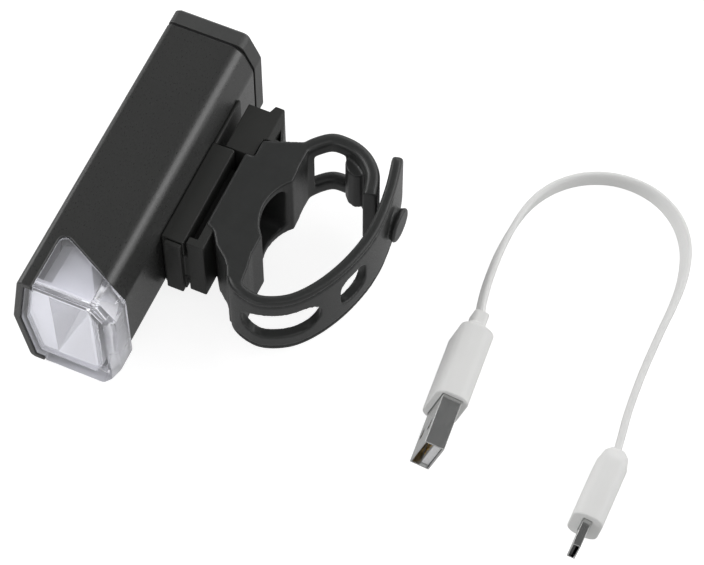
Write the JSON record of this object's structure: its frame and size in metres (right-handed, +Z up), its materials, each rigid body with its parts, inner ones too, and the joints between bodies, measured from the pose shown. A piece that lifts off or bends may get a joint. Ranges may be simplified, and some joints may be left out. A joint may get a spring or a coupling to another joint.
{
  "type": "bicycle headlight",
  "caption": "Rechargeable bike headlight: black aluminium body, clear lens, slide-off rubber bar clamp, white USB cable.",
  "frame": {"origin": "on the lamp's flat side that lies on the floor: half way along the lamp, and 10.2 mm from its clamp face", "axes": "+Z up from the floor, along the handlebar; -Y is the way the light shines; +X from the lamp towards the handlebar, which is down in use"},
  "size_m": [0.1354, 0.0955, 0.032],
  "materials": {
    "anodised": "satin black anodised",
    "cap_plastic": "matte black",
    "seal": "matte black",
    "screw_steel": "bright",
    "clear": "clear polycarbonate",
    "mirror_plastic": "metallised",
    "emitter": "phosphor yellow",
    "board_white": "white solder mask",
    "board_green": "green solder mask",
    "sink_alloy": "plain",
    "wire": "red insulation",
    "cell": "foil pouch",
    "carrier": "grey",
    "tin": "tinned",
    "button": "matte black",
    "bezel": "grey",
    "bracket": "satin black",
    "clamp_rubber": "matte black",
    "white_jacket": "white",
    "plug_steel": "bright",
    "plug_insert": "white",
    "gold": "gold plated",
    "dark_insert": "black"
  },
  "bodies": {
    "lamp": {"body_tube": "anodised", "rear_gasket": "seal", "rear_cap": "cap_plastic", "cap_screws": "screw_steel", "lens": "clear", "lens_gasket": "seal", "reflector": "mirror_plastic", "led_emitter": "emitter", "led_board": "board_white", "heat_sink": "sink_alloy", "led_leads": "wire", "battery_cell": "cell", "battery_leads": "wire", "inner_frame": "carrier", "main_board": "board_green", "micro_usb_socket": "tin", "tactile_switch": "dark_insert", "button_bezel": "bezel", "rail_bracket": "bracket", "rail_screws": "screw_steel"},
    "button": {"power_button": "button", "switch_plunger": "plug_insert"},
    "cover": {"port_cover": "seal"},
    "latch": {"latch_lever": "bracket"},
    "clamp": {"clamp_slider": "bracket", "clamp_screw": "screw_steel", "clamp_washer": "screw_steel", "clamp_saddle": "clamp_rubber"},
    "strap": {"clamp_strap": "clamp_rubber"},
    "cable": {"charging_cord": "white_jacket", "usb_a_overmould": "white_jacket", "usb_a_shell_tube": "plug_steel", "usb_a_tongue": "plug_insert", "usb_a_contacts": "gold", "micro_usb_overmould": "white_jacket", "micro_usb_shell": "plug_steel", "micro_usb_tongue": "dark_insert"}
  },
  "joints": [
    {"name": "button_press", "type": "slide", "parent": "lamp", "child": "button", "axis": [1, 0, 0], "range_m": [0, 0.0005], "stiffness_N_per_m": 400},
    {"name": "port_cover_open", "type": "hinge", "parent": "lamp", "child": "cover", "pos_m": [-0.01, 0.0395, 0.016], "axis": [0, 0, 1], "range_deg": [0, 110]},
    {"name": "latch_press", "type": "hinge", "parent": "lamp", "child": "latch", "pos_m": [0.0134, 0.0136, 0.016], "axis": [0, 0, 1], "range_deg": [0, 4], "stiffness_Nm_per_rad": 0.6},
    {"name": "quick_release", "type": "slide", "parent": "lamp", "child": "clamp", "axis": [0, -1, 0], "range_m": [0, 0.045]},
    {"name": "strap_open", "type": "hinge", "parent": "clamp", "child": "strap", "pos_m": [0.0263, -0.01455, 0.016], "axis": [0, 0, 1], "range_deg": [-60, 0], "stiffness_Nm_per_rad": 0.02},
    {"name": "cable_lift", "type": "slide", "parent": "lamp", "child": "cable", "axis": [0, 0, 1], "range_m": [0, 0.05]}
  ]
}
